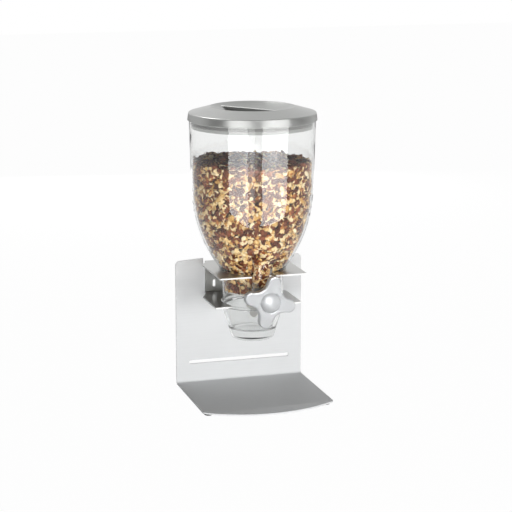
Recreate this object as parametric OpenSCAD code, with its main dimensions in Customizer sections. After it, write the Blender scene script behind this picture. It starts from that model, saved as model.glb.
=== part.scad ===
// Gravity bin for dry bulk food: a clear hopper hangs in a folded sheet stand.
// A four-bladed wheel in its neck drops one measured portion for each quarter turn of the knob.
// Millimetres, +Z up, the front is -Y. All modules are drawn round the neck's axis,
// and placed() moves them so that the origin lies under the middle of the whole object.

/* [Stand sheet] */
// Width of the base and of the back plate
stand_w = 180; // [150:1:220]
// Thickness of the folded sheet of stand and bracket
sheet_t = 2; // [1.5:0.1:3]
// Inner radius of the fold between base and back plate
stand_fold_r = 3; // [2:0.5:5]
// Distance from the neck's axis back to the front of the back plate
back_y = 64; // [60:0.5:80]
// Height of the back plate's upper corners and of the upper shelf's top above the table
back_h = 177; // [172:1:200]
// Rise of the back plate's arched top edge over its corners
back_rise = 4; // [1:0.5:10]
// Distance from the neck's axis forward to the crease of the base's front lip
crease_y = 77; // [70:1:95]
// Length of the front lip in the middle, measured on the sheet
lip_len = 22; // [12:1:28]
// Angle at which the front lip dips
lip_dip = 6; // [2:0.5:8]
// Radius of the rounded corners of base and back plate
sheet_corner_r = 6; // [3:0.5:8]
// Length of the long slot in the back plate
slot_len = 144; // [100:1:150]
// Height of the long slot
slot_h = 5; // [4.6:0.1:8]
// Height of the slot's centre above the table
slot_z = 34; // [20:1:50]

/* [Feet] */
// Height of a foot
foot_h = 4; // [3:0.5:5]
// Diameter of a foot
foot_d = 12; // [8:1:14]
// Distance of a foot's centre in from the side edge
foot_inset = 9; // [8:0.5:16]

/* [Bracket] */
// Width of the two shelves
shelf_w = 119; // [112:1:140]
// Width of the panel between the shelves
panel_w = 98; // [90:1:104]
// Distance between the tops of the upper shelf and the lower fork
fork_drop = 44; // [40:0.5:44]
// Reach of the upper shelf forward of the neck's axis
shelf_reach = 52; // [48:0.5:56]
// Reach of the lower fork forward of the neck's axis
fork_reach = 30; // [24:0.5:34]
// Inner radius of the bracket's folds
bracket_fold_r = 2; // [1:0.5:3]
// Width of the slot that lets the hopper's nose down through the upper shelf
nose_slot_w = 33; // [32:0.5:40]
// Width of the fork's open mouth
fork_mouth_w = 74; // [66:1:78]
// Width of an oblong see-through slot in the panel
panel_slot_w = 4.5; // [4.2:0.1:6]
// Length of an oblong slot
panel_slot_len = 10.5; // [8:0.5:14]
// Distance of the oblong slots from the middle
panel_slot_x = 36; // [30:0.5:40]
// Height of the oblong slots above the fork's top
panel_slot_up = 11.4; // [9:0.1:14]

/* [Fasteners] */
// Thread diameter of the two bracket screws and of the knob screw
screw_d = 4; // [3:0.5:4]
// Distance of a bracket screw from the middle
screw_x = 14; // [10:0.5:20]
// Height of the bracket screws above the fork's top
screw_up = 22; // [18:0.5:26]

/* [Hopper] */
// Outer radius of the neck
neck_r = 41; // [38:0.5:44]
// Length of the neck below the upper shelf
neck_len = 49; // [47:0.5:54]
// Outer radius of the bowl at the foot of its straight wall
bowl_r = 81.3; // [76:0.1:90]
// Outer radius of the bowl at its mouth
mouth_r = 83.7; // [79:0.1:95]
// Radius of the bowl's curved side
bowl_side_r = 186; // [180:1:195]
// Height of the straight wall over the curved part
bowl_wall_h = 94; // [60:1:120]
// Wall thickness of the hopper
wall = 2.5; // [2:0.1:3]
// Width of the flat seat ring under the bowl
seat_w = 3.5; // [2.5:0.1:5]
// Distance of the nose's axis forward of the neck's axis
nose_y = 42; // [40:0.5:44]
// Radius of the nose at its upper end
nose_r_top = 15; // [14:0.1:15.5]
// Radius of the nose at its lower end
nose_r_low = 12.4; // [12:0.1:14]

/* [Lid] */
// Height of the lid's skirt
skirt_h = 9.5; // [6:0.5:12]
// Height of the sloping crown over the skirt
crown_h = 7.9; // [7:0.1:12]
// Radius of the round dish in the lid
dish_r = 56; // [45:0.5:64]
// Depth of the dish
dish_depth = 13; // [8:0.5:15]
// Wall thickness of the lid
lid_t = 2; // [1.5:0.1:3]
// Depth to which the lid's plug ring reaches below the hopper's rim
plug_depth = 17; // [10:0.5:20]
// Thickness of the grip across the dish, at its crest
grip_t = 3; // [2:0.1:5]
// Depth of the grip's crest below the dish's rim
grip_drop = 3; // [1:0.5:5]
// Angle of the grip seen from above
grip_turn = -51; // [-90:1:90]

/* [Portion wheel] */
// Height of the wheel's shaft under the upper shelf's top
shaft_drop = 29; // [28:0.5:30]
// Diameter of the shaft
shaft_d = 8; // [7:0.5:8]
// Number of blades on the wheel
blade_count = 4; // [3:1:6]
// Thickness of a blade
blade_t = 2; // [1.5:0.1:3]
// Radius of the wheel's hub
hub_r = 9; // [8.5:0.1:10]
// Depth of the slot that holds a blade's root in the hub
blade_root = 2.8; // [2:0.1:3]

/* [Knob] */
// Reach of a knob lobe from the shaft
knob_r = 35; // [30:0.5:38]
// Radius of a lobe's round end
lobe_r = 9; // [8:0.5:11]
// Thickness of the knob
knob_t = 11; // [10:0.5:14]
// Radius of the rounded edges of the knob
knob_edge_r = 2.5; // [1.5:0.5:3]
// Angle by which the lobes stand off the vertical
knob_turn = -14; // [-45:1:45]
// Radius of the domed cap in the middle of the knob
cap_r = 13.6; // [12:0.1:15]
// Height of the domed cap over the knob's face
cap_h = 9; // [6:0.5:12]
// Gap between the upper shelf's front edge and the back of the knob
knob_gap = 20; // [16:0.5:30]

/* [Catch cup] */
// Height of the cup below the neck
cup_h = 45.7; // [42:0.1:60]
// Angle at which the cup's side draws in
cup_taper = 16.6; // [10:0.1:18]
// Radius with which the side turns in under the neck
cup_shoulder_r = 16; // [8:1:24]
// Radius of the cup's lower edge
cup_edge_r = 6; // [3:0.5:8]
// Thickness of the cup's heavy base
cup_base_t = 14; // [8:0.5:16]
// Wall thickness of the cup
cup_wall = 2.4; // [2:0.1:3]
// Height of the spigot that pushes up inside the neck
spigot_h = 3; // [2.5:0.5:4]

/* [Clearances] */
// Radial running clearance of the shaft in its two bearings
run_gap = 0.05; // [0.03:0.01:0.08]
// Radial clearance of the parts that push or drop into each other
slip_gap = 0.2; // [0.15:0.05:0.4]
// Radial clearance of the neck in the shelf and the fork
neck_gap = 1; // [0.5:0.1:2]
// Radial clearance of the wheel's blades in the neck
blade_gap = 0.9; // [0.6:0.1:1.5]
// Face gap between parts that pass each other while turning
turn_gap = 0.6; // [0.3:0.1:1]

/* [Hidden] */
$fn = 96;
eps = 0.01;

// stand and bracket
base_z = foot_h + sheet_t;
back_back_y = back_y + sheet_t;
panel_y = back_y - sheet_t;
shelf_z = back_h;
fork_z = shelf_z - fork_drop;
hole_r = neck_r + neck_gap;
relief_len = 29;
relief_x = (shelf_w - panel_w) / 2;
notch_side = 2;
notch_depth = 5;
panel_slot_z = fork_z + panel_slot_up;
screw_z = fork_z + screw_up;
foot_x = stand_w / 2 - foot_inset;
foot_front_y = -(crease_y - foot_d / 2 - 2);
foot_back_y = back_y - stand_fold_r - foot_d / 2 - 1;

// hopper
neck_in_r = neck_r - wall;
neck_low_z = shelf_z - neck_len;
arc_x = bowl_r - bowl_side_r;
seat_r = neck_r + seat_w;
arc_rise = sqrt(pow(bowl_side_r, 2) - pow(seat_r - arc_x, 2));
seat_lip = 2;
arc_z = shelf_z + seat_lip + arc_rise;
rim_z = arc_z + bowl_wall_h;
mouth_in_r = mouth_r - wall;
nose_rise = 23;
nose_top_z = shelf_z + nose_rise;
nose_lift = 3.4;
nose_low_z = fork_z + nose_lift;
nose_floor_t = 2;
arc_steps = 28;

// portion wheel
shaft_z = shelf_z - shaft_drop;
shaft_r = shaft_d / 2;
flat_depth = 0.8;
wheel_r = neck_in_r - blade_gap;
bush_r = shaft_r + 1.5;
boss_r = bush_r + 2;
boss_len = 7;
boss_face_y = neck_in_r - boss_len;
bush_end_y = sqrt(pow(neck_in_r, 2) - pow(bush_r, 2)) - slip_gap;
hub_half = boss_face_y - turn_gap;
blade_half = hub_half - 2;
blade_step = 360 / blade_count;
clip_t = 0.8;
clip_y = neck_in_r - slip_gap - 0.3;
collar_t = 4.5;
collar_r = shaft_r + collar_t;
collar_len = 5.6;
collar_y = nose_y + nose_r_low + collar_len;

// knob
knob_back_y = shelf_reach + knob_gap;
knob_front_y = knob_back_y + knob_t;
knob_hub_r = 8.5;
arm_c = knob_r - lobe_r;
fillet_r = arm_c - lobe_r;
cap_seat = 2;
recess_r = cap_r - 1.6;
recess_d = 5;
head_h = 2.2;
head_r = screw_d * 0.95;
shaft_front_y = knob_front_y - recess_d - 3;
cap_sphere_r = (pow(cap_r, 2) + pow(cap_h, 2)) / (2 * cap_h);

// catch cup
spigot_r = neck_in_r - slip_gap;
spigot_t = 2.2;
cup_seat_gap = 0.3;
cup_top_z = neck_low_z - cup_seat_gap;
cup_low_z = cup_top_z - cup_h;

// lid
skirt_over_rim = 2.5;
crown_low_z = rim_z + skirt_over_rim;
skirt_low_z = crown_low_z - skirt_h;
lid_top_z = crown_low_z + crown_h;
skirt_gap = 0.5;
skirt_in_r = mouth_r + skirt_gap;
skirt_t = 1.3;
skirt_r = skirt_in_r + skirt_t;
skirt_flare = 1.1;
crown_r = skirt_r - skirt_flare;
crown_angle = atan(crown_h / (crown_r - dish_r));
crown_edge_r = 1.6;
plug_gap = 1.1;
plug_r = mouth_in_r - plug_gap;
plug_low_z = rim_z - plug_depth;
plug_t = 2.2;
groove_z = plug_low_z + 4;
groove_h = 4;
groove_d = 1;
dish_sphere_r = (pow(dish_r, 2) + pow(dish_depth, 2)) / (2 * dish_depth);

// the object's reach to the front and the back of the neck's axis
front_y = max(knob_front_y + cap_h, crease_y + lip_len * cos(lip_dip));
shift_y = (front_y - max(skirt_r, back_back_y)) / 2;

// ---------- shared shapes ----------

module placed() translate([0, shift_y, 0]) children();

// Points of an arc from angle a0 to a1
function arc(c, r, a0, a1, n) = [for (i = [0:n]) let (a = a0 + (a1 - a0) * i / n) c + r * [cos(a), sin(a)]];

// A profile drawn in Y and Z, drawn out along X over a width
module along_x(w) rotate([90, 0, 90]) translate([0, 0, -w / 2]) linear_extrude(w) children();

// An outline drawn in X and Z, drawn out backwards in Y from y0
module along_y(y0, len) translate([0, y0 + len, 0]) rotate([90, 0, 0]) linear_extrude(len) children();

// A round bar along Y from y0 to y1 at the shaft's height
module bar_y(r, y0, y1) translate([0, y1, shaft_z]) rotate([90, 0, 0]) cylinder(h = y1 - y0, r = r);

// Sheet outline of width w from y = 0 to len at its corners, with an arched end and round corners
module arched_sheet(w, len, rise, corner) {
    arch_r = (pow(w / 2, 2) + pow(rise, 2)) / (2 * rise);
    arch_y = len + rise - arch_r;
    corner_x = w / 2 - corner;
    corner_y = arch_y + sqrt(pow(arch_r - corner, 2) - pow(corner_x, 2));
    tangent_x = corner_x * arch_r / (arch_r - corner);
    translate([-w / 2, 0]) square([w, corner_y]);
    intersection() {
        translate([-tangent_x, 0]) square([2 * tangent_x, len + rise]);
        translate([0, arch_y]) circle(r = arch_r, $fn = 720);
    }
    for (side = [-1, 1]) translate([side * corner_x, corner_y]) circle(r = corner);
}

// Upright oblong hole in X and Z
module oblong(x, z, w, len) {
    for (end = [-1, 1]) translate([x, z + end * (len - w) / 2]) circle(d = w);
    translate([x - w / 2, z - (len - w) / 2]) square([w, len - w]);
}

// Holes shared by the back plate and the bracket's panel
module panel_holes() {
    for (side = [-1, 1]) {
        oblong(side * panel_slot_x, panel_slot_z, panel_slot_w, panel_slot_len);
        translate([side * screw_x, screw_z]) circle(d = screw_d + 0.4);
    }
}

// ---------- stand ----------

module stand_profile() {
    lip_y = -crease_y - lip_len * cos(lip_dip);
    lip_z = base_z - lip_len * sin(lip_dip);
    fold_y = back_y - stand_fold_r;
    fold_z = base_z + stand_fold_r;
    top_z = back_h + back_rise + 1;
    under = [lip_y - sheet_t * sin(lip_dip), lip_z - sheet_t * cos(lip_dip)];
    polygon(concat(
        [[-crease_y, base_z]],
        arc([fold_y, fold_z], stand_fold_r, -90, 0, 6),
        [[back_y, top_z], [back_back_y, top_z]],
        arc([fold_y, fold_z], stand_fold_r + sheet_t, 0, -90, 8),
        [[-crease_y, foot_h], under, [lip_y, lip_z]]));
}

module stand() color("silver") difference() {
    intersection() {
        along_x(stand_w) stand_profile();
        union() {
            base_back_y = back_y - stand_fold_r;
            lip_rise = lip_len * cos(lip_dip);
            translate([0, base_back_y, 0]) linear_extrude(base_z + 1) mirror([0, 1])
                arched_sheet(stand_w, base_back_y + crease_y, lip_rise, sheet_corner_r);
            along_y(base_back_y - eps, back_back_y + 1 - base_back_y)
                arched_sheet(stand_w, back_h, back_rise, sheet_corner_r);
        }
    }
    along_y(back_y - 1, sheet_t + 2) {
        panel_holes();
        translate([0, slot_z]) square([slot_len - slot_h, slot_h], center = true);
        for (end = [-1, 1]) translate([end * (slot_len - slot_h) / 2, slot_z]) circle(d = slot_h);
        translate([-panel_w / 2 - notch_side, back_h - notch_depth])
            square([panel_w + 2 * notch_side, notch_depth + back_rise + 1]);
    }
}

// ---------- bracket ----------

module bracket_profile() {
    out_r = bracket_fold_r + sheet_t;
    fold_y = back_y - out_r;
    low_z = fork_z - sheet_t;
    polygon(concat(
        [[-shelf_reach, shelf_z]],
        arc([fold_y, shelf_z - out_r], out_r, 90, 0, 8),
        arc([fold_y, low_z + out_r], out_r, 0, -90, 8),
        [[-shelf_reach, low_z], [-shelf_reach, fork_z]],
        arc([fold_y, low_z + out_r], bracket_fold_r, -90, 0, 6),
        arc([fold_y, shelf_z - out_r], bracket_fold_r, 0, 90, 6),
        [[-shelf_reach, shelf_z - sheet_t]]));
}

// Plan of a shelf: full width in front, drawn in at 45 degrees or so to the panel's width
module shelf_plan(reach) {
    corner = 2;
    hull() for (side = [-1, 1]) {
        translate([side * (shelf_w / 2 - corner), corner - reach]) circle(r = corner, $fn = 32);
        translate([side * (shelf_w / 2 - eps), back_y - relief_len]) circle(r = eps, $fn = 4);
        translate([side * (panel_w / 2 - eps), back_y - relief_x + 4]) circle(r = eps, $fn = 4);
    }
    translate([-panel_w / 2, 0]) square([panel_w, back_y]);
}

module bracket() color("darkgray") {
    mid_z = (shelf_z + fork_z) / 2;
    difference() {
        intersection() {
            along_x(shelf_w) bracket_profile();
            union() {
                translate([0, 0, mid_z]) linear_extrude(shelf_z) difference() {
                    shelf_plan(shelf_reach);
                    circle(r = hole_r);
                    translate([-nose_slot_w / 2, -shelf_reach - 1]) square([nose_slot_w, shelf_reach + 1]);
                }
                linear_extrude(mid_z) difference() {
                    shelf_plan(fork_reach);
                    circle(r = hole_r);
                    translate([-fork_mouth_w / 2, -fork_reach - 1]) square([fork_mouth_w, fork_reach + 1]);
                }
            }
        }
        along_y(panel_y - 1, sheet_t + 2) panel_holes();
    }
}

// ---------- fasteners and feet ----------

// Button-head screw along Y: its head's seat at y = 0, the shank running back
module button_screw(len) rotate([-90, 0, 0]) difference() {
    union() {
        cylinder(h = len, d = screw_d);
        rotate([180, 0, 0]) intersection() {
            cylinder(h = head_h, r = head_r);
            translate([0, 0, head_h - head_r * 1.4]) sphere(r = head_r * 1.4);
        }
    }
    translate([0, 0, -head_h - eps]) cylinder(h = head_h * 0.6, d = screw_d * 0.6, $fn = 6);
}

module bracket_screws() color("lightsteelblue")
    for (side = [-1, 1]) translate([side * screw_x, panel_y, screw_z]) button_screw(2 * sheet_t + screw_d);

module bracket_nuts() color("lightsteelblue")
    for (side = [-1, 1]) translate([side * screw_x, back_back_y, screw_z]) rotate([-90, 0, 0]) difference() {
        cylinder(h = screw_d * 0.8, d = screw_d * 2, $fn = 6);
        translate([0, 0, -1]) cylinder(h = screw_d + 2, d = screw_d + 0.1);
    }

module foot(side, y) color("black") translate([side * foot_x, y, 0]) rotate_extrude()
    polygon([[0, 0], [foot_d / 2 - 1.2, 0], [foot_d / 2 - 0.6, 0.3], [foot_d / 2, foot_h - 0.6],
             [foot_d / 2, foot_h], [0, foot_h]]);

// ---------- hopper ----------

module bowl_outer() rotate_extrude($fn = 180) polygon(concat(
    [[0, neck_low_z], [neck_r, neck_low_z], [neck_r, shelf_z], [seat_r, shelf_z]],
    arc([arc_x, arc_z], bowl_side_r, -asin(arc_rise / bowl_side_r), 0, arc_steps),
    [[mouth_r, rim_z - 0.6], [mouth_r - 0.6, rim_z], [0, rim_z]]));

module bowl_inner() {
    in_r = bowl_side_r - wall;
    in_rise = sqrt(pow(in_r, 2) - pow(neck_in_r - arc_x, 2));
    rotate_extrude($fn = 180) polygon(concat(
        [[0, neck_low_z - 1], [neck_in_r, neck_low_z - 1]],
        arc([arc_x, arc_z], in_r, -asin(in_rise / in_r), 0, arc_steps),
        [[mouth_in_r, rim_z + 1], [0, rim_z + 1]]));
}

// The nose: a half-round bulge down the front of the neck that carries the shaft's front bearing
module nose(r_low, r_top, low_z, top_z) translate([0, -nose_y, low_z])
    cylinder(h = top_z - low_z, r1 = r_low, r2 = r_top);

module nose_inner() nose(nose_r_low - wall, nose_r_top - wall, nose_low_z + nose_floor_t, nose_top_z);

module hopper() color([0.85, 0.88, 0.88, 0.35]) {
    difference() {
        union() {
            bowl_outer();
            nose(nose_r_low, nose_r_top, nose_low_z, nose_top_z);
            bar_y(collar_r, -collar_y, -nose_y);
        }
        bowl_inner();
        nose_inner();
        bar_y(shaft_r + 0.5, -collar_y - 1, -nose_y);
    }
    // blind socket on the rear wall for the shaft's rear bush
    difference() {
        bar_y(boss_r, boss_face_y, neck_r - wall / 2);
        bar_y(bush_r + slip_gap / 2, boss_face_y - 1, neck_in_r);
    }
}

// ---------- bearings ----------

module front_bearing() color("black") difference() {
    seat = slip_gap;
    low = nose_low_z + nose_floor_t;
    nose(nose_r_low - wall - seat, nose_r_low - wall - seat, low, shaft_z + 10);
    translate([0, 0, low - 1]) cylinder(h = shelf_z, r = neck_in_r + seat);
    bar_y(shaft_r + run_gap, -collar_y, 0);
}

module rear_bush() color("ivory") difference() {
    bar_y(bush_r, boss_face_y, bush_end_y);
    bar_y(shaft_r + run_gap, boss_face_y - 1, neck_in_r + 1);
}

// ---------- portion wheel ----------

// Flat on the shaft's +Z side, cut from y0 to y1
module shaft_flat(y0, y1) translate([-shaft_r, y0, shaft_z + shaft_r - flat_depth])
    cube([shaft_d, y1 - y0, shaft_d]);

module drive_shaft() color("gainsboro") difference() {
    bar_y(shaft_r, -shaft_front_y, neck_in_r - 1);
    shaft_flat(-hub_half, hub_half + slip_gap);
    shaft_flat(-shaft_front_y - 1, -collar_y - turn_gap);
    bar_y(screw_d / 2 + 0.05, -shaft_front_y - 1, -shaft_front_y + 14);
    // groove of the retaining clip behind the front bearing
    difference() {
        bar_y(shaft_r + 1, -clip_y - 0.1, -clip_y + clip_t + 0.1);
        bar_y(shaft_r - 0.8, -clip_y - 1, -clip_y + clip_t + 1);
    }
}

// Open clip in the shaft's groove, just behind the front bearing
module shaft_clip() color("gray") difference() {
    mouth = shaft_r * 1.4;
    bar_y(shaft_r + 2, -clip_y, -clip_y + clip_t);
    bar_y(shaft_r - 0.7, -clip_y - 1, -clip_y + clip_t + 1);
    translate([-mouth / 2, -clip_y - 1, shaft_z - shaft_r - 3]) cube([mouth, clip_t + 2, shaft_r + 1]);
}

module d_bore(y0, y1) difference() {
    bar_y(shaft_r + run_gap, y0, y1);
    shaft_flat(y0 - 1, y1 + 1);
}

module wheel_hub() color("ivory") difference() {
    bar_y(hub_r, -hub_half, hub_half);
    d_bore(-hub_half - 1, hub_half + 1);
    for (i = [0:blade_count - 1]) translate([0, 0, shaft_z]) rotate([0, i * blade_step, 0])
        translate([-blade_t / 2 - slip_gap / 4, -blade_half, hub_r - blade_root])
            cube([blade_t + slip_gap / 2, 2 * blade_half, blade_root + 1]);
}

// Half-disc paddle with a root that slides into the hub's slot
module blade(i) color("whitesmoke") translate([0, 0, shaft_z]) rotate([0, i * blade_step, 0])
    rotate([0, 0, 90]) along_y(-blade_t / 2, blade_t) {
        intersection() {
            circle(r = wheel_r, $fn = 180);
            translate([-wheel_r, hub_r + slip_gap / 2]) square([2 * wheel_r, wheel_r]);
        }
        translate([-blade_half + slip_gap, hub_r - blade_root + slip_gap / 2])
            square([2 * (blade_half - slip_gap), blade_root + 1]);
    }

// ---------- knob ----------

// One lobe's round tip and the hollow flank that follows it, moved in by inset
function lobe(q, inset) = [for (p = concat(
        arc([arm_c, 0], lobe_r - inset, -90, 90, 12),
        [for (i = [1:7]) let (a = -90 - 90 * i / 8) [arm_c, arm_c] + (fillet_r + inset) * [cos(a), sin(a)]]))
    [p[0] * cos(90 * q) - p[1] * sin(90 * q), p[0] * sin(90 * q) + p[1] * cos(90 * q)]];

// Outline of the four lobes round the shaft
module knob_outline(inset) polygon([for (q = [0:3]) each lobe(q, inset)]);

// Ball that rounds the knob's edges
module edge_ball() rotate_extrude($fn = 16) polygon(arc([0, 0], knob_edge_r, -90, 90, 8));

module knob() color("gainsboro") difference() {
    union() {
        translate([0, -knob_back_y - knob_edge_r, shaft_z]) rotate([90, -knob_turn, 0]) minkowski() {
            linear_extrude(knob_t - 2 * knob_edge_r) knob_outline(knob_edge_r);
            edge_ball();
        }
        bar_y(knob_hub_r, -knob_back_y - 1, -collar_y - turn_gap);
    }
    d_bore(-shaft_front_y - slip_gap, 0);
    bar_y(screw_d / 2 + 0.2, -knob_front_y, 0);
    bar_y(recess_r, -knob_front_y - 1, -knob_front_y + recess_d);
}

module knob_screw() color("lightsteelblue") translate([0, -knob_front_y + recess_d, shaft_z])
    button_screw(shaft_front_y - knob_front_y + recess_d + 15);

// Domed cap that plugs the knob's recess and hides the screw
module knob_cap() color("gainsboro") translate([0, -knob_front_y, shaft_z]) rotate([90, 0, 0])
    difference() {
        union() {
            intersection() {
                translate([0, 0, cap_h - cap_sphere_r]) sphere(r = cap_sphere_r);
                cylinder(h = cap_h + 1, r = cap_r);
            }
            translate([0, 0, -cap_seat]) cylinder(h = cap_seat + eps, r = recess_r - slip_gap);
        }
        translate([0, 0, -cap_seat - 1]) cylinder(h = cap_seat + 2, r = recess_r - slip_gap - 2);
    }

// ---------- catch cup ----------

module cup_profile(r_top, shoulder_r, edge_r, low_z) {
    straight_r = r_top - shoulder_r * (1 - cos(cup_taper));
    straight_z = cup_top_z - shoulder_r * sin(cup_taper);
    edge_z = low_z + edge_r * (1 - sin(cup_taper));
    edge_x = straight_r - (straight_z - edge_z) * tan(cup_taper);
    polygon(concat(
        [[0, low_z]],
        arc([edge_x - edge_r * cos(cup_taper), low_z + edge_r], edge_r, -90, -cup_taper, 8),
        arc([r_top - shoulder_r, cup_top_z], shoulder_r, -cup_taper, 0, 5),
        [[0, cup_top_z]]));
}

module catch_cup() color([0.85, 0.88, 0.88, 0.35]) difference() {
    union() {
        rotate_extrude($fn = 120) cup_profile(neck_r, cup_shoulder_r, cup_edge_r, cup_low_z);
        translate([0, 0, cup_top_z - eps]) cylinder(h = spigot_h, r = spigot_r, $fn = 120);
    }
    rotate_extrude($fn = 120)
        cup_profile(neck_r - cup_wall - 2, cup_shoulder_r, cup_edge_r, cup_low_z + cup_base_t);
    translate([0, 0, cup_top_z - 1]) cylinder(h = spigot_h + 2, r = spigot_r - spigot_t, $fn = 120);
}

// ---------- lid ----------

module dish(extra) translate([0, 0, lid_top_z - dish_depth + dish_sphere_r])
    sphere(r = dish_sphere_r + extra, $fn = 180);

// Height of the crown's slope at a radius
function crown_z(r) = lid_top_z - (r - dish_r) * tan(crown_angle);

module lid_shell() rotate_extrude($fn = 180) polygon(concat(
    [[0, lid_top_z], [dish_r, lid_top_z]],
    arc([crown_r - crown_edge_r, crown_low_z - crown_edge_r * (1 - sin(crown_angle)) / cos(crown_angle)],
        crown_edge_r, 90 - crown_angle, 0, 6),
    [[skirt_r, skirt_low_z], [skirt_in_r, skirt_low_z], [skirt_in_r, rim_z], [plug_r, rim_z],
     [plug_r, groove_z + groove_h], [plug_r - groove_d, groove_z + groove_h],
     [plug_r - groove_d, groove_z], [plug_r, groove_z], [plug_r, plug_low_z],
     [plug_r - plug_t, plug_low_z], [0, plug_low_z]]));

// Hollow under the lid's crown and dish
module lid_hollow() difference() {
    hollow_r = plug_r - plug_t;
    rotate_extrude($fn = 180) polygon([[0, plug_low_z - 1], [0, lid_top_z - lid_t], [dish_r, lid_top_z - lid_t],
        [hollow_r, crown_z(hollow_r) - lid_t], [hollow_r, plug_low_z - 1]]);
    intersection() {
        dish(lid_t);
        translate([0, 0, plug_low_z - 2]) cylinder(h = lid_top_z, r = dish_r + lid_t);
    }
}

// Grip across the dish: a wall that thickens towards its foot
module lid_grip() intersection() {
    crest = lid_top_z - grip_drop;
    rotate([0, 0, grip_turn]) along_x(2 * dish_r) polygon([
        [-grip_t / 2 - 2, crest - dish_depth], [-grip_t / 2, crest - 0.8], [-grip_t / 2 + 0.8, crest],
        [grip_t / 2 - 0.8, crest], [grip_t / 2, crest - 0.8], [grip_t / 2 + 2, crest - dish_depth]]);
    dish(lid_t / 2);
}

module lid() color("silver") {
    difference() {
        lid_shell();
        lid_hollow();
        intersection() {
            dish(0);
            translate([0, 0, lid_top_z - dish_depth - 1]) cylinder(h = dish_depth + 2, r = dish_r);
        }
    }
    lid_grip();
}

module lid_gasket() color("dimgray") rotate_extrude($fn = 180) polygon([
    [plug_r - groove_d + 0.05, groove_z + 0.05], [plug_r + 0.1, groove_z + 0.05],
    [mouth_in_r - 0.45, groove_z + groove_h / 2], [plug_r + 0.1, groove_z + groove_h - 0.05],
    [plug_r - groove_d + 0.05, groove_z + groove_h - 0.05]]);

placed() stand();
placed() bracket();
placed() bracket_screws();
placed() bracket_nuts();
placed() foot(-1, foot_front_y);  // foot_front_left
placed() foot(1, foot_front_y);  // foot_front_right
placed() foot(-1, foot_back_y);  // foot_rear_left
placed() foot(1, foot_back_y);  // foot_rear_right
placed() hopper();
placed() front_bearing();
placed() rear_bush();
placed() lid();
placed() lid_gasket();
placed() drive_shaft();
placed() shaft_clip();
placed() wheel_hub();
placed() blade(0);  // blade_1
placed() blade(1);  // blade_2
placed() blade(2);  // blade_3
placed() blade(3);  // blade_4
placed() knob();
placed() knob_screw();
placed() knob_cap();
placed() catch_cup();
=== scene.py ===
# Gravity bin for dry food: a clear bowl hangs in a folded steel stand, and a knob turns the
# wheel in its neck. The pieces are dressed in the order in which the bin is put together,
# from the stand up to the food.
import math

import bpy
import numpy as np
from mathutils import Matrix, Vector


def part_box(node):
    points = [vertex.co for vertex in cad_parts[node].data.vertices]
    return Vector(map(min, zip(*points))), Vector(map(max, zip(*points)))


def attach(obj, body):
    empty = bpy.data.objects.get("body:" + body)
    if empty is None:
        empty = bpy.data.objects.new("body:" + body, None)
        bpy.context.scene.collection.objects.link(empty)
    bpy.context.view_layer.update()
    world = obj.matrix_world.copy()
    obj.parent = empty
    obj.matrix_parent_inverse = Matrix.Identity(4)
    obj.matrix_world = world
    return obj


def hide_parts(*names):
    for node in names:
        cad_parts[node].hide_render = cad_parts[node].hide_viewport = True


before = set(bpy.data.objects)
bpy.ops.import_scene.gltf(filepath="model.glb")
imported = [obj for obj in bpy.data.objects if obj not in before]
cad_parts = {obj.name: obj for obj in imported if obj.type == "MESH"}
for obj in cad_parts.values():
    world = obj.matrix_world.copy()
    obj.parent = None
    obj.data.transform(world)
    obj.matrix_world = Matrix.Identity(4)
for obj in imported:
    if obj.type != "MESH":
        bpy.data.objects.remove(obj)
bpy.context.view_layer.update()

# ---------------------------------------------------------------------------------------------
# Stand: one sheet of satin steel, folded once into base and back plate, its front lip dipped.
# The edges are tumbled round after cutting, and the grain runs across the sheet.
# ---------------------------------------------------------------------------------------------
MM = 0.001
SHEET_EDGE = 0.35 * MM
STEEL = (0.69, 0.70, 0.705)
STAND_ROUGHNESS = 0.5
STAND_METAL = 0.1
DARKEST_GRAIN = 0.93
LIGHTEST_GRAIN = 1.05
WELD_GAP = 0.002 * MM
FLAT_ANGLE = math.radians(0.4)
CREASE_ANGLE = math.radians(38)


class Shade:
    """A value in a finish. Sums, products and comparisons add the Math nodes that work them out."""

    def __init__(self, finish, socket):
        self.finish = finish
        self.socket = socket

    def math(self, operation, first, second):
        return self.finish.node("ShaderNodeMath", {"operation": operation}, {0: first, 1: second})

    def __add__(self, other):
        return self.math("ADD", self, other)

    def __radd__(self, other):
        return self.math("ADD", other, self)

    def __sub__(self, other):
        return self.math("SUBTRACT", self, other)

    def __rsub__(self, other):
        return self.math("SUBTRACT", other, self)

    def __mul__(self, other):
        return self.math("MULTIPLY", self, other)

    def __rmul__(self, other):
        return self.math("MULTIPLY", other, self)

    def __lt__(self, other):
        return self.math("LESS_THAN", self, other)

    def __gt__(self, other):
        return self.math("LESS_THAN", other, self)

    def __or__(self, other):
        return self.math("MAXIMUM", self, other)

    def __ror__(self, other):
        return self.math("MAXIMUM", other, self)


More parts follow.
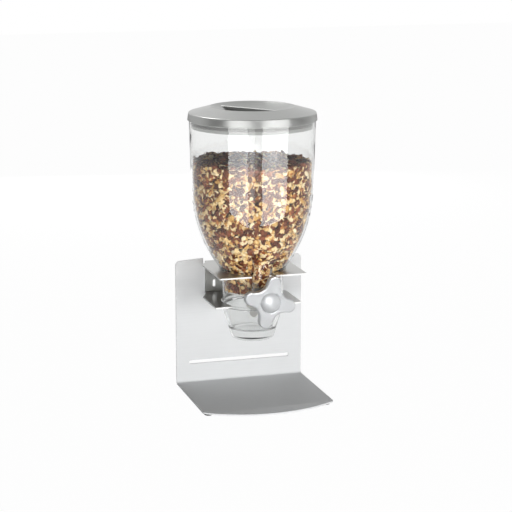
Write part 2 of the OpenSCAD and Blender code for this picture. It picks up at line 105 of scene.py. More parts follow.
class Finish:
    """A material round one Principled shader, whose constants are set on its own sockets."""

    def __init__(self, name, colour, roughness, **constants):
        self.material = bpy.data.materials.new(name)
        self.material.use_nodes = True
        self.tree = self.material.node_tree
        self.shader = self.tree.nodes["Principled BSDF"]
        self.shader.inputs["Base Color"].default_value = (*colour, 1)
        self.shader.inputs["Roughness"].default_value = roughness
        for socket, value in constants.items():
            self.shader.inputs[socket.replace("_", " ")].default_value = value
        self.place = self.node("ShaderNodeTexCoord", out="Object")

    @classmethod
    def on_world(cls, world):
        """The same way of adding nodes, for the surround."""
        made = cls.__new__(cls)
        made.tree = world.node_tree
        return made

    def node(self, kind, settings=None, values=None, out=0):
        """One node of any kind: its settings first, then a value or a shade for each socket."""
        made = self.tree.nodes.new(kind)
        for name, value in (settings or {}).items():
            if name == "stops":
                while len(made.color_ramp.elements) < len(value):
                    made.color_ramp.elements.new(0.5)
                for stop, (at, colour) in zip(made.color_ramp.elements, value):
                    stop.position = at
                    stop.color = (*colour, 1)
            else:
                setattr(made, name, value)
        for socket, value in (values or {}).items():
            if isinstance(value, Shade):
                self.tree.links.new(value.socket, made.inputs[socket])
            else:
                made.inputs[socket].default_value = value
        return Shade(self, made.outputs[out])

    def noise(self, scale, detail, stretch=(1, 1, 1)):
        """Soft noise on Object coordinates, drawn out along the axes by stretch."""
        grid = self.node("ShaderNodeMapping", {}, {"Vector": self.place, "Scale": stretch})
        sockets = {"Vector": grid, "Scale": scale, "Detail": detail, "Roughness": 0.55}
        return self.node("ShaderNodeTexNoise", {}, sockets)

    def ramp(self, value, *stops):
        """A colour looked up by a value, from stops of place and colour."""
        return self.node("ShaderNodeValToRGB", {"stops": stops}, {"Fac": value})

    def blend(self, mask, first, second):
        """A colour between two, by a mask."""
        values = {0: mask, 6: (*first, 1), 7: (*second, 1)}
        return self.node("ShaderNodeMix", {"data_type": "RGBA"}, values, out=2)

    def seen(self, in_gloss):
        """1 for the eye, also through clear plastic; in_gloss for a reflection; 0 for the rest."""
        ray = {}
        for kind in ("Camera", "Glossy", "Transmission"):
            ray[kind] = self.node("ShaderNodeLightPath", out="Is %s Ray" % kind)
        return ray["Camera"] | ray["Transmission"] | ray["Glossy"] * in_gloss

    def feed(self, socket, value):
        """Links a shade to one of the shader's sockets."""
        self.tree.links.new(value.socket, self.shader.inputs[socket])

    def relief(self, height, depth):
        """Bump of a depth in metres, fed to the shader's normal."""
        values = {"Height": height, "Distance": depth, "Strength": 1.0}
        self.feed("Normal", self.node("ShaderNodeBump", {}, values, out="Normal"))


def select_only(piece):
    bpy.ops.object.select_all(action="DESELECT")
    piece.select_set(True)
    bpy.context.view_layer.objects.active = piece


def from_node(node, edge=0.0, segments=2, smoothing=30, merge=True):
    """A piece with a node's own shape: triangles joined, edges rounded and flats shaded flat.
    Without merge it keeps its triangles, as the clear pieces and the knob do."""
    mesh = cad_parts[node].data.copy()
    piece = bpy.data.objects.new(node + "_piece", mesh)
    bpy.context.scene.collection.objects.link(piece)
    mesh.materials.clear()
    select_only(piece)
    bpy.ops.object.mode_set(mode="EDIT")
    bpy.ops.mesh.select_all(action="SELECT")
    bpy.ops.mesh.remove_doubles(threshold=WELD_GAP)
    if merge:
        bpy.ops.mesh.dissolve_limited(angle_limit=FLAT_ANGLE)
    bpy.ops.object.mode_set(mode="OBJECT")
    if edge:
        rounding = piece.modifiers.new("edge", "BEVEL")
        rounding.width = edge
        rounding.segments = segments
        rounding.limit_method = "ANGLE"
        rounding.angle_limit = CREASE_ANGLE
        bpy.ops.object.modifier_apply(modifier="edge")
    bpy.ops.object.shade_smooth_by_angle(angle=math.radians(smoothing))
    if edge or not merge:
        flats = piece.modifiers.new("flats", "WEIGHTED_NORMAL")
        flats.keep_sharp = True
        flats.weight = 100
        bpy.ops.object.modifier_apply(modifier="flats")
    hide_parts(node)
    return piece


def fit_out(piece, finish, body):
    """Gives a piece its finish and its body."""
    piece.data.materials.clear()
    piece.data.materials.append(finish.material)
    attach(piece, body)


def satin_sheet(name, colour, roughness, metal):
    """Satin steel sheet: long fine grain along X, and faint clouds of polish."""
    finish = Finish(name, colour, roughness, Metallic=metal, Specular_IOR_Level=0.2)
    grain = finish.noise(900, detail=2, stretch=(0.03, 1, 1))
    clouds = finish.noise(14, detail=2)
    finish.feed("Roughness", roughness - 0.05 + grain * 0.06 + clouds * 0.04)
    finish.relief(grain, 0.02 * MM)
    return finish, grain, clouds


stand_sheet, grain, clouds = satin_sheet("stand_sheet", STEEL, STAND_ROUGHNESS, STAND_METAL)
darkest = [c * DARKEST_GRAIN for c in STEEL]
lightest = [c * LIGHTEST_GRAIN for c in STEEL]
stand_sheet.feed("Base Color", stand_sheet.blend(grain * 0.5 + clouds * 0.5, darkest, lightest))
fit_out(from_node("stand", edge=SHEET_EDGE), stand_sheet, "stand")

# ---------------------------------------------------------------------------------------------
# Bracket: the same sheet in a C, its upper shelf bored for the neck and its lower one a fork.
# Two screws behind the neck hold it to the back plate. Its faces are polished finer than the
# stand's. Its cut edges in front of the panel carry a painted highlight: pale and matt.
# ---------------------------------------------------------------------------------------------
BRACKET_STEEL = (0.50, 0.50, 0.485)
BRACKET_ROUGHNESS = 0.3
BRACKET_METAL = 0.9
# pale, matt colour and metal of the painted edge highlight
EDGE_HIGHLIGHT_COLOUR = (0.9, 0.9, 0.89)
EDGE_HIGHLIGHT_METAL = 0.1
PANEL_ZONE = 6 * MM
bracket_sheet, _, _ = satin_sheet(
    "bracket_sheet", BRACKET_STEEL, BRACKET_ROUGHNESS, BRACKET_METAL
)
facing = bracket_sheet.node("ShaderNodeNewGeometry", out="Normal")
upright = bracket_sheet.node("ShaderNodeSeparateXYZ", {}, {"Vector": facing}, "Z")
along_y = bracket_sheet.node("ShaderNodeSeparateXYZ", {}, {"Vector": bracket_sheet.place}, "Y")
bracket_back_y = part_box("bracket")[1][1]
# painted highlight: upright cut faces in front of the panel are pale and matt, so they shine
edge_highlight = (upright * upright < 0.5) * (along_y < bracket_back_y - PANEL_ZONE)
bracket_sheet.feed("Metallic", BRACKET_METAL - edge_highlight * (BRACKET_METAL - EDGE_HIGHLIGHT_METAL))
bracket_sheet.feed("Base Color", bracket_sheet.blend(edge_highlight, BRACKET_STEEL, EDGE_HIGHLIGHT_COLOUR))
fit_out(from_node("bracket", edge=SHEET_EDGE), bracket_sheet, "stand")

# ---------------------------------------------------------------------------------------------
# Screws and nuts: plain bright steel. The button-head screws have a hexagon socket and go
# through panel and back plate from the front, and the nuts sit on them behind the plate.
# ---------------------------------------------------------------------------------------------
SCREW_EDGE = 0.12 * MM
bright_steel = Finish("bright_steel", (0.62, 0.62, 0.61), 0.25, Metallic=1.0)
bright_steel.feed("Roughness", 0.2 + bright_steel.noise(1500, detail=2) * 0.12)
for node in ("bracket_screws", "bracket_nuts"):
    fit_out(from_node(node, edge=SCREW_EDGE), bright_steel, "stand")

# ---------------------------------------------------------------------------------------------
# Feet: four soft black rubber discs, moulded with a little draft and glued under the corners
# of the base.
# ---------------------------------------------------------------------------------------------
foot_rubber = Finish("foot_rubber", (0.018, 0.018, 0.018), 0.75)
foot_rubber.relief(foot_rubber.noise(2500, detail=3), 0.04 * MM)
for corner in ("front_left", "front_right", "rear_left", "rear_right"):
    fit_out(from_node("foot_" + corner, edge=0.3 * MM), foot_rubber, "stand")

# ---------------------------------------------------------------------------------------------
# Hopper: one clear moulding of bowl, neck and nose, 2.5 mm thick, polished inside and out.
# It drops into the upper shelf and rests there on the seat ring under the bowl.
# ---------------------------------------------------------------------------------------------
CLEAR = {"IOR": 1.46, "Transmission_Weight": 1.0}
clear_plastic = Finish("clear_plastic", (0.955, 0.96, 0.955), 0.02, **CLEAR)


def fit_clear(node, finish, body):
    """Fits a clear piece, whose walls neither shade what lies behind them nor catch its light."""
    piece = from_node(node, merge=False, smoothing=35)
    fit_out(piece, finish, body)
    piece.visible_shadow = False
    piece.visible_diffuse = False


fit_clear("hopper", clear_plastic, "hopper")

# ---------------------------------------------------------------------------------------------
# Bearings: a black block pressed into the lower nose carries the shaft in front, and a plain
# pale bush in a blind socket of the neck's rear wall carries its far end.
# ---------------------------------------------------------------------------------------------
black_plastic = Finish("black_plastic", (0.02, 0.02, 0.021), 0.45)
black_plastic.relief(black_plastic.noise(1800, detail=2), 0.03 * MM)
fit_out(from_node("front_bearing", edge=0.3 * MM), black_plastic, "hopper")
bush_plastic = Finish("bush_plastic", (0.78, 0.77, 0.72), 0.5)
bush_plastic.relief(bush_plastic.noise(1800, detail=2), 0.02 * MM)
fit_out(from_node("rear_bush", edge=0.2 * MM), bush_plastic, "hopper")

# ---------------------------------------------------------------------------------------------
# Portion wheel: a steel shaft with a clip, a pale hub on its flat, and four milky soft blades
# pushed into the hub's slots. Each quarter turn carries one pocket of food down.
# ---------------------------------------------------------------------------------------------
fit_out(from_node("drive_shaft", edge=0.25 * MM), bright_steel, "wheel")
fit_out(from_node("shaft_clip", edge=0.1 * MM), bright_steel, "wheel")
fit_out(from_node("wheel_hub", edge=0.3 * MM), bush_plastic, "wheel")
silicone = Finish("milky_silicone", (0.86, 0.85, 0.80), 0.4, Transmission_Weight=0.15)
silicone.relief(silicone.noise(700, detail=2), 0.04 * MM)
for number in range(1, 5):
    fit_out(from_node("blade_%d" % number, edge=0.4 * MM), silicone, "wheel")

# ---------------------------------------------------------------------------------------------
# Lid: a silver-grey moulding with a fine matt grain, dished in the middle, with a slanted grip
# across the dish. Its plug ring carries a grey gasket that wipes the bowl's mouth.
# ---------------------------------------------------------------------------------------------
SILVER = (0.40, 0.405, 0.395)
DARK_SPECK = (0.36, 0.365, 0.355)
LIGHT_SPECK = (0.44, 0.445, 0.435)
silver_plastic = Finish("silver_plastic", SILVER, 0.28, Metallic=0.8)
specks = silver_plastic.noise(2600, detail=2)
silver_plastic.feed("Base Color", silver_plastic.blend(specks, DARK_SPECK, LIGHT_SPECK))
silver_plastic.relief(specks, 0.03 * MM)
fit_out(from_node("lid", edge=0.5 * MM, segments=3), silver_plastic, "lid")
gasket_rubber = Finish("gasket_rubber", (0.19, 0.19, 0.185), 0.5)
gasket_rubber.relief(gasket_rubber.noise(900, detail=2), 0.03 * MM)
fit_out(from_node("lid_gasket"), gasket_rubber, "lid")

# ---------------------------------------------------------------------------------------------
# Knob: a four-lobed hand knob in satin silver-white plastic on the shaft's front end.
# A screw holds it, and a domed cap plugs the recess over the screw.
# ---------------------------------------------------------------------------------------------


def satin_plastic(name, colour, roughness, spread):
    """Silvery satin plastic with the faint orange peel of its mould."""
    finish = Finish(name, colour, roughness, Metallic=0.45)
    peel = finish.noise(1200, detail=2)
    finish.feed("Roughness", roughness - spread / 2 + peel * spread)
    finish.relief(peel, 0.02 * MM)
    return finish


knob_plastic = satin_plastic("knob_plastic", (0.49, 0.50, 0.51), roughness=0.34, spread=0.08)
fit_out(from_node("knob", merge=False, smoothing=45), knob_plastic, "wheel")
cap_plastic = satin_plastic("cap_plastic", (0.50, 0.51, 0.52), roughness=0.46, spread=0.06)
fit_out(from_node("knob_cap", edge=0.15 * MM), cap_plastic, "wheel")
fit_out(from_node("knob_screw", edge=SCREW_EDGE), bright_steel, "wheel")

# ---------------------------------------------------------------------------------------------
# Catch cup: a clear moulded tumbler with a heavy base, a little greyer than the hopper.
# Its spigot is pushed up into the neck's lower end and holds there by friction.
# ---------------------------------------------------------------------------------------------
cup_plastic = Finish("cup_plastic", (0.89, 0.895, 0.89), 0.03, **CLEAR)
fit_clear("catch_cup", cup_plastic, "cup")

# ---------------------------------------------------------------------------------------------
# Food: a breakfast mix of rolled oats, bran and raisins fills the bowl to a wavy top.
# It lies against the clear wall, round a heart darkened as painted shade, never seen by itself.
# Lengths are in millimetres from the neck's axis, until SHIFT_Y moves them to the frame.
# ---------------------------------------------------------------------------------------------
SHIFT_Y = sum(corner[1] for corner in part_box("lid")) / 2
dice = np.random.default_rng(seed=7)

# the hopper's inner wall: the neck, the bowl's arc, the straight wall up to the rim, and the
# gap that the food keeps from them
NECK_R = 38.5
BOWL_SIDE_R = 183.5
BOWL_ARC_X = -104.7
BOWL_ARC_Z = 290.065
MOUTH_R = 81.2
RIM_Z = 384.0
WALL_GAP = 0.5

# the top of the fill: its height, its crown over that, and how fast the crown falls away
FILL_Z = 321.0
CROWN_RISE = 2.0
CROWN_FALL = 0.0006


def bowl_r(z):
    """Inner radius of the hopper at a height."""
    z = np.asarray(z, float)
    curved = BOWL_ARC_X + np.sqrt(np.maximum(BOWL_SIDE_R**2 - (BOWL_ARC_Z - z) ** 2, 0))
    foot = BOWL_ARC_X + BOWL_SIDE_R
    straight = foot + (MOUTH_R - foot) * (z - BOWL_ARC_Z) / (RIM_Z - BOWL_ARC_Z)
    return np.maximum(np.where(z > BOWL_ARC_Z, straight, curved), NECK_R)


def fill_top(x, y):
    """Height of the food's top: a low crown with small waves."""
    wave = 1.2 * np.sin(x / 17 + 0.6) * np.cos(y / 21) + 0.9 * np.sin(x / 8 - y / 11)
    return FILL_Z + CROWN_RISE - CROWN_FALL * (x**2 + y**2) + wave


def crumb(length, width, height, bend, rough):
    """One crumb's shape, modelled once: a low ball, flattened, bent and roughened."""
    bpy.ops.object.select_all(action="DESELECT")
    bpy.ops.mesh.primitive_uv_sphere_add(segments=8, ring_count=4, radius=0.5)
    made = bpy.context.object
    co = np.array([v.co for v in made.data.vertices])
    co += dice.normal(0, rough, co.shape)
    co *= (length, width, height)
    co[:, 2] += bend * (co[:, 0] / length) ** 2 * height
    faces = [list(p.vertices) for p in made.data.polygons]
    bpy.data.objects.remove(made)
    return co, faces


def inside_bowl(points):
    """Draws the points that would pass the bowl's wall back inside it."""
    room = bowl_r(points[:, 2]) - WALL_GAP
    pull = np.minimum(1, room / np.hypot(points[:, 0], points[:, 1]))
    return points * np.stack([pull, pull, np.ones(len(points))], axis=1)


def scatter(name, shape, centres, turns, sizes, finish, body, keep_in):
    """Copies a crumb to every place, each with its own turn, size and tone."""
    co, faces = shape
    count = len(centres)
    points = np.einsum("nij,vj->nvi", turns, co) * sizes[:, None, None] + centres[:, None, :]
    points = points.reshape(-1, 3)
    if keep_in:
        points = keep_in(points)
    points[:, 1] += SHIFT_Y / MM
    step = len(co)
    corners = np.concatenate([np.array(f) for f in faces])
    starts = np.cumsum([0] + [len(f) for f in faces[:-1]])
    nth = np.arange(count)[:, None]
    mesh = bpy.data.meshes.new(name)
    mesh.vertices.add(count * step)
    mesh.vertices.foreach_set("co", (points * MM).astype(np.float32).ravel())
    mesh.loops.add(count * len(corners))
    mesh.loops.foreach_set("vertex_index", (corners[None, :] + step * nth).ravel())
    mesh.polygons.add(count * len(faces))
    mesh.polygons.foreach_set("loop_start", (starts[None, :] + len(corners) * nth).ravel())
    tone = mesh.attributes.new("tone", "FLOAT", "POINT")
    tone.data.foreach_set("value", np.repeat(dice.random(count), step).astype(np.float32))
    mesh.update(calc_edges=True)
    mesh.validate()
    piece = bpy.data.objects.new(name, mesh)
    bpy.context.scene.collection.objects.link(piece)
    select_only(piece)
    bpy.ops.object.shade_smooth()
    piece.data.materials.append(finish.material)
    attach(piece, body)


def of_length_one(arrows):
    return arrows / np.linalg.norm(arrows, axis=1)[:, None]


def turns_about(normals, tilt):
    """Random turns that lay a crumb's flat side to each normal, give or take a tilt."""
    count = len(normals)
    up = of_length_one(normals + dice.normal(0, tilt, (count, 3)))
    side = of_length_one(np.cross(up, dice.normal(size=(count, 3))))
    return np.stack([side, np.cross(up, side), up], axis=2)


def food_finish(name, *stops):
    """Matt food: each crumb's tone picks its colour, and fine mealy noise breaks it up."""
    finish = Finish(name, stops[0][1], 0.75, Specular_IOR_Level=0.05)
    tone = finish.node("ShaderNodeAttribute", {"attribute_name": "tone"}, out="Fac")
    meal = finish.noise(700, detail=3)
    finish.feed("Base Color", finish.ramp(tone * 0.75 + meal * 0.3, *stops))
    finish.relief(finish.noise(1400, detail=3), 0.3 * MM)
    return finish


oat_finish = food_finish(
    "oats",
    (0.0, (0.42, 0.18, 0.04)),
    (0.25, (0.66, 0.38, 0.12)),
    (0.5, (0.85, 0.60, 0.27)),
    (1.0, (0.98, 0.86, 0.60)),
)
bran_finish = food_finish(
    "bran",
    (0.0, (0.15, 0.04, 0.012)),
    (0.5, (0.34, 0.11, 0.04)),
    (1.0, (0.55, 0.24, 0.07)),
)
raisin_finish = food_finish(
    "raisins",
    (0.0, (0.05, 0.015, 0.007)),
    (0.5, (0.15, 0.045, 0.02)),
    (1.0, (0.30, 0.10, 0.045)),
)
oat = crumb(9.2, 7.0, 1.1, bend=0.7, rough=0.07)
bran = crumb(8.6, 4.6, 1.4, bend=0.8, rough=0.09)
raisin = crumb(14.0, 10.0, 5.5, bend=0.3, rough=0.09)

# the mix, each kind with its smallest and largest size, and its share in each part of the fill
MIX = (
    ("oats", oat, oat_finish, 0.5, 1.1),
    ("bran", bran, bran_finish, 0.5, 1.15),
    ("raisins", raisin, raisin_finish, 0.5, 1.0),
)
WALL_SHARES = (0.62, 0.26, 0.12)
# painted shade: the deep layer leans to bran and raisins, so the fill looks darker in its depth
DEEP_SHADE_SHARES = (0.36, 0.36, 0.28)
# the top leans to dark crumbs: partly a darker mix on top, partly painted shade under the lid
TOP_SHADE_SHARES = (0.40, 0.36, 0.24)


def strew(name, centres, normals, tilt, body, shares=WALL_SHARES, keep_in=inside_bowl):
    """Strews the mix over the places: one piece for each kind of crumb."""
    kind = dice.choice(len(MIX), len(centres), p=shares)
    for index, (label, shape, finish, smallest, largest) in enumerate(MIX):
        mine = kind == index
        sizes = dice.uniform(smallest, largest, mine.sum())
        turns = turns_about(normals[mine], tilt)
        scatter("%s_%s" % (name, label), shape, centres[mine], turns, sizes, finish, body, keep_in)


# two layers along the wall: count, least and greatest depth, tilt and shares of the mix
WALL_LAYERS = (
    (4200, 1.6, 3.8, 0.35, WALL_SHARES),
    (3000, 4.5, 8.0, 0.8, DEEP_SHADE_SHARES),
)
WALL_LOW, WALL_HIGH = 179, 324
SPARE_DRAWS = 3


def by_the_wall(count, least, greatest):
    """Places at a depth inside the bowl's wall, thinned where it is narrow to lie evenly."""
    z = dice.uniform(WALL_LOW, WALL_HIGH, count * SPARE_DRAWS)
    keep = dice.random(count * SPARE_DRAWS) < bowl_r(z) / MOUTH_R
    z = z[keep][:count]
    a = dice.uniform(0, 2 * math.pi, len(z))
    r = bowl_r(z) - dice.uniform(least, greatest, len(z))
    slope = (bowl_r(z + 1) - bowl_r(z - 1)) / 2
    out = np.stack([np.cos(a), np.sin(a), -slope], axis=1)
    return np.stack([r * np.cos(a), r * np.sin(a), z], axis=1), of_length_one(out)


# crumbs may stand a little proud of the fill's top, and those that lie less deep than its top
# layer are looser and have the top's shares
PROUD = 1
TOP_LAYER, TOP_LAYER_SPREAD = 3.0, 2
LOOSER = 0.2
for layer, (count, least, greatest, tilt, shares) in enumerate(WALL_LAYERS):
    places, outward = by_the_wall(count, least, greatest)
    depth = fill_top(places[:, 0], places[:, 1]) + PROUD - places[:, 2]
    settled = depth > dice.normal(TOP_LAYER, TOP_LAYER_SPREAD, len(depth))
    strew("wall_food_%d" % layer, places[settled], outward[settled], tilt, "hopper", shares)
    loose = (depth > 0) & ~settled
    looser = tilt + LOOSER
    strew("upper_food_%d" % layer, places[loose], outward[loose], looser, "hopper", TOP_SHADE_SHARES)

# the top of the fill, whose crumbs lie a little under and over its height
TOP_COUNT = 2100
TOP_R = 77
TOP_LOW, TOP_HIGH = -3.5, 2.5
a = dice.uniform(0, 2 * math.pi, TOP_COUNT)
r = TOP_R * np.sqrt(dice.random(TOP_COUNT))
x, y = r * np.cos(a), r * np.sin(a)
places = np.stack([x, y, fill_top(x, y) + dice.uniform(TOP_LOW, TOP_HIGH, TOP_COUNT)], axis=1)
strew("top_food", places, np.tile((0, 0, 1.0), (TOP_COUNT, 1)), 0.4, "hopper", TOP_SHADE_SHARES)

# heart of the fill: a revolved body inside the crumbs, from over the wheel to under the top,
# darkened as painted shade for the gaps between them
HEART_DEPTH = 9.0
HEART_FOOT = [(0, 187)]
HEART_CROWN = [(62, 317), (30, 320), (0, 321)]
heart_side = [(float(bowl_r(z)) - HEART_DEPTH, z) for z in np.linspace(187.5, 310, 22)]
heart_profile = HEART_FOOT + heart_side + HEART_CROWN
steps = [(i, i + 1) for i in range(len(heart_profile) - 1)]
heart_mesh = bpy.data.meshes.new("food_heart")
heart_mesh.from_pydata([(r * MM, 0, z * MM) for r, z in heart_profile], steps, [])
heart = bpy.data.objects.new("food_heart", heart_mesh)
bpy.context.scene.collection.objects.link(heart)
select_only(heart)
bpy.ops.object.mode_set(mode="EDIT")
bpy.ops.mesh.select_all(action="SELECT")
bpy.ops.mesh.spin(steps=64, angle=2 * math.pi, center=(0, 0, 0), axis=(0, 0, 1))
bpy.ops.mesh.select_all(action="SELECT")
bpy.ops.mesh.remove_doubles(threshold=0.01 * MM)
bpy.ops.mesh.normals_make_consistent(inside=False)
bpy.ops.transform.translate(value=(0, SHIFT_Y, 0))
bpy.ops.object.mode_set(mode="OBJECT")
bpy.ops.object.shade_smooth()
# painted shade: the heart is far darker than the crumbs, so the gaps between them look shaded
heart_shade_finish = Finish("food_heart", (0.22, 0.12, 0.06), 0.9)
lumps = heart_shade_finish.noise(260, detail=3)
gap_shade_brown = heart_shade_finish.ramp(
    lumps,
    (0.3, (0.03, 0.012, 0.006)),
    (0.5, (0.10, 0.05, 0.02)),
    (0.7, (0.22, 0.12, 0.05)),
)
heart_shade_finish.feed("Base Color", gap_shade_brown)
heart_shade_finish.relief(lumps, 2 * MM)
heart.data.materials.append(heart_shade_finish.material)
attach(heart, "hopper")

# crumbs along the neck's wall, outside the sweep of the wheel's blades
SHAFT_Z = 148.0
WHEEL_R = 37.6
SWEEP_GAP = 0.15
NECK_COUNT = 420
NECK_LOW, NECK_HIGH = 150, 184
NECK_LEAST, NECK_GREATEST = 0.8, 6
NECK_GAP = 1


def outside_sweep(points):
    """Pushes the points that the wheel's blades would pass out of their sweep."""
    arm = points - (0, 0, SHAFT_Z)
    arm *= np.maximum(1, (WHEEL_R + SWEEP_GAP) / np.linalg.norm(arm, axis=1))[:, None]
    return inside_bowl(arm + (0, 0, SHAFT_Z))


z = dice.uniform(NECK_LOW, NECK_HIGH, NECK_COUNT)
a = dice.uniform(0, 2 * math.pi, NECK_COUNT)
sweep = np.sqrt(np.maximum(WHEEL_R**2 - (z - SHAFT_Z) ** 2, 0))
r = np.maximum(NECK_R - dice.uniform(NECK_LEAST, NECK_GREATEST, NECK_COUNT), sweep)
r = np.minimum(r, NECK_R - NECK_GAP)
places = np.stack([r * np.cos(a), r * np.sin(a), z], axis=1)
outward = np.stack([np.cos(a), np.sin(a), 0 * a], axis=1)
strew("neck_food", places, outward, 0.25, "hopper", keep_in=outside_sweep)

# crumbs along the front half of the nose, over the black bearing
NOSE_COUNT = 150
NOSE_Y = -42.0
NOSE_LOW, NOSE_HIGH = 168, 196
NOSE_FOOT_Z, NOSE_FOOT_R, NOSE_FLARE = 138, 10, 0.04
z = dice.uniform(NOSE_LOW, NOSE_HIGH, NOSE_COUNT)
a = dice.uniform(math.pi, 2 * math.pi, NOSE_COUNT)
r = (NOSE_FOOT_R + (z - NOSE_FOOT_Z) * NOSE_FLARE) * np.sqrt(dice.uniform(0.3, 0.85, NOSE_COUNT))
places = np.stack([r * np.cos(a), NOSE_Y + r * np.sin(a), z], axis=1)
outward = np.stack([np.cos(a), np.sin(a), 0 * a], axis=1)
strew("nose_food", places, outward, 0.5, "hopper", keep_in=None)

# the portion in the wheel's two upper pockets, which turns with it; half of it lies low and far
# out, and none of it where the upright and the level blades are
PORTION_COUNT = 520
LOW_RISE = (0.06, 0.2)
LOW_REACH = (0.9, 0.97)
HIGH_REACH = (0.75, 0.94)
FLATTENING = 0.8
UPRIGHT_ROOM, LEVEL_ROOM = 4, 2.0


def inside_sweep(points):
    """Draws the points that would pass the wheel's sweep back inside it."""
    arm = points - (0, 0, SHAFT_Z)
    pull = np.minimum(1, WHEEL_R / np.linalg.norm(arm, axis=1))[:, None]
    return arm * pull + (0, 0, SHAFT_Z)


outward = dice.normal(size=(PORTION_COUNT, 3))
outward[:, 2] = np.abs(outward[:, 2]) * FLATTENING
outward = of_length_one(outward)
low = dice.random(PORTION_COUNT) < 0.5
outward[low, 2] = dice.uniform(*LOW_RISE, low.sum())
outward = of_length_one(outward)
low_reach = dice.uniform(*LOW_REACH, PORTION_COUNT)
high_reach = dice.uniform(*HIGH_REACH, PORTION_COUNT)
reach = np.where(low, low_reach, high_reach) * WHEEL_R
places = outward * reach[:, None] + (0, 0, SHAFT_Z)
clear = (np.abs(places[:, 0]) > UPRIGHT_ROOM) & (places[:, 2] > SHAFT_Z + LEVEL_ROOM)
strew("portion", places[clear], outward[clear], 0.3, "wheel", keep_in=inside_sweep)

# ---------------------------------------------------------------------------------------------
# Studio: a white floor and surround, with low soft boxes in front on either side and one behind.
# The other lamps light nothing: they only show as mirror images in the pieces they are for.
# ---------------------------------------------------------------------------------------------
AMBIENT = 0.08
FRONT_GLOSS = 0.12
FLOOR_GLOSS = 0.3
FLOOR_GLOW = 0.98
bpy.ops.object.select_all(action="DESELECT")
bpy.ops.mesh.primitive_plane_add(size=12, location=(0, 0, 0))
floor = bpy.context.object
floor.name = "floor"
floor_finish = Finish("floor_white", (0.93, 0.93, 0.93), 0.9)
white = floor_finish.seen(FLOOR_GLOSS) * FLOOR_GLOW
glow = floor_finish.node("ShaderNodeEmission", {}, {"Color": (1, 1, 1, 1), "Strength": 1.0})
lit = Shade(floor_finish, floor_finish.shader.outputs[0])
mixed = floor_finish.node("ShaderNodeMixShader", {}, {0: white, 1: lit, 2: glow})
floor_out = floor_finish.tree.nodes["Material Output"].inputs["Surface"]
floor_finish.tree.links.new(mixed.socket, floor_out)
floor.data.materials.append(floor_finish.material)

# the surround is white to the eye and faint as a light; in a mirror image it is white behind
# the bin and dim in front
world = bpy.data.worlds.new("surround")
bpy.context.scene.world = world
world.use_nodes = True
surround = Finish.on_world(world)
way = surround.node("ShaderNodeTexCoord", out="Generated")
ahead = surround.node("ShaderNodeSeparateXYZ", {}, {"Vector": way}, "Y")
fade = {"Value": ahead, "From Min": -0.05, "From Max": 0.45, "To Min": FRONT_GLOSS}
behind = surround.node("ShaderNodeMapRange", {}, fade)
strength = AMBIENT + surround.seen(behind) * (1 - AMBIENT)
backdrop = surround.tree.nodes["Background"]
surround.tree.links.new(strength.socket, backdrop.inputs["Strength"])
backdrop.inputs["Color"].default_value = (1, 1, 1, 1)


def soft_box(name, place, aim, size, power, mirrors=None):
    """A soft light that faces a point. Given mirrors, it shows in them and lights nothing."""
    light = bpy.data.lights.new(name, "AREA")
    light.shape = "RECTANGLE"
    light.size, light.size_y = size
    light.energy = power
    lamp = bpy.data.objects.new(name, light)
    lamp.location = place
    lamp.rotation_euler = (Vector(aim) - Vector(place)).to_track_quat("-Z", "Y").to_euler()
    bpy.context.scene.collection.objects.link(lamp)
    lamp.visible_camera = lamp.visible_transmission = False
    lamp.visible_glossy = bool(mirrors)
    lamp.visible_diffuse = not mirrors
    if mirrors:
        lamp.light_linking.receiver_collection = mirrors


def mirrors_of(name, nodes):
    """The pieces in which a lamp shows."""
    pieces = bpy.data.collections.new(name)
    for node in nodes:
        pieces.objects.link(bpy.data.objects[node + "_piece"])
    return pieces


MIDDLE = (0, 0, 0.2)
soft_box("left_box", (-0.5, -1.8, 0.22), MIDDLE, size=(0.9, 0.3), power=24)
soft_box("rear_box", (0.35, 1.8, 0.25), MIDDLE, size=(0.9, 0.3), power=22)
soft_box("right_box", (0.7, -1.7, 0.22), MIDDLE, size=(0.6, 0.3), power=17)

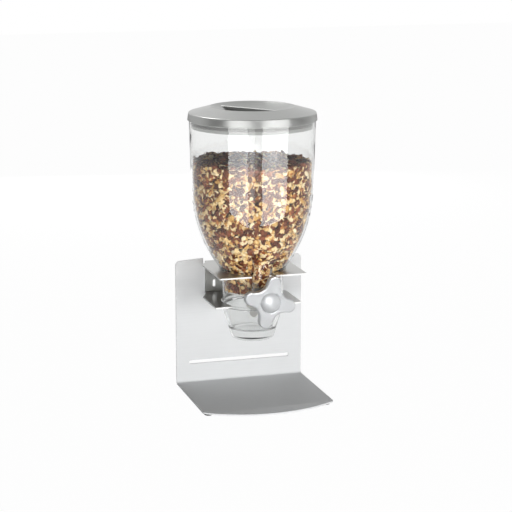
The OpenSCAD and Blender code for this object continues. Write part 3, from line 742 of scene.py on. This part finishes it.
# two tall window panes and a strip between them, mirrored in the clear pieces and dimly in the
# lid; each pane has its left, right and lower edge and its share of the glow
PANE_Y = -0.25 + SHIFT_Y
PANE_TOP = 0.6
PANES = (
    ("left_pane", -0.385, -0.108, 0.09, 1.0),
    ("strip", -0.104, -0.058, 0.09, 0.4),
    ("right_pane", -0.007, 0.235, 0.12, 1.0),
)
PANE_GLOW = (
    (("hopper", "catch_cup"), 27.0),
    (("lid",), 6.5),
)
for nodes, pane_glow in PANE_GLOW:
    pieces = mirrors_of("mirrors_" + nodes[0], nodes)
    for name, x_low, x_high, z_low, share in PANES:
        place = ((x_low + x_high) / 2, PANE_Y, (z_low + PANE_TOP) / 2)
        size = (x_high - x_low, PANE_TOP - z_low)
        power = pane_glow * share * size[0] * size[1]
        soft_box(nodes[0] + "_" + name, place, (place[0], 0, place[2]), size, power, pieces)

# lights above the eye for the knob and its cap, and one high behind for the lid's dish, each
# with its place, aim, size and power
GLINTS = (
    ("knob", (0.0, -1.4, 1.2), (0, 0, 0.13), (1.0, 0.7), 40),
    ("knob_cap", (-0.55, -1.3, 0.85), (0, 0, 0.14), (1.7, 1.3), 40),
    ("lid", (-0.5, 1.0, 1.62), (0, 0, 0.39), (0.8, 0.5), 11),
)
for node, place, aim, size, power in GLINTS:
    soft_box(node + "_glint", place, aim, size, power, mirrors_of("glint_" + node, (node,)))

# ---------------------------------------------------------------------------------------------
# Camera: the photograph's view, fitted to the stand's corners, the lid's rim and the knob.
# It stands in front on the left, higher than the lid, and looks a little down.
# ---------------------------------------------------------------------------------------------
CAMERA_AZIMUTH = math.radians(-16.81)
CAMERA_ELEVATION = math.radians(12.34)
CAMERA_PLACE = (-0.62084, -2.07151 + SHIFT_Y, 0.66606)
FOCAL_PX = 1655.7
FRAME_PX = 512
SENSOR_MM = 36
back_x = math.sin(CAMERA_AZIMUTH) * math.cos(CAMERA_ELEVATION)
back_y = -math.cos(CAMERA_AZIMUTH) * math.cos(CAMERA_ELEVATION)
back = Vector((back_x, back_y, math.sin(CAMERA_ELEVATION)))
lens = bpy.data.cameras.new("camera")
lens.sensor_width = SENSOR_MM
lens.lens = FOCAL_PX / FRAME_PX * SENSOR_MM
camera = bpy.data.objects.new("camera", lens)
camera.location = CAMERA_PLACE
camera.rotation_euler = back.to_track_quat("Z", "Y").to_euler()
bpy.context.scene.collection.objects.link(camera)
bpy.context.scene.camera = camera
bpy.context.scene.view_settings.view_transform = "Standard"
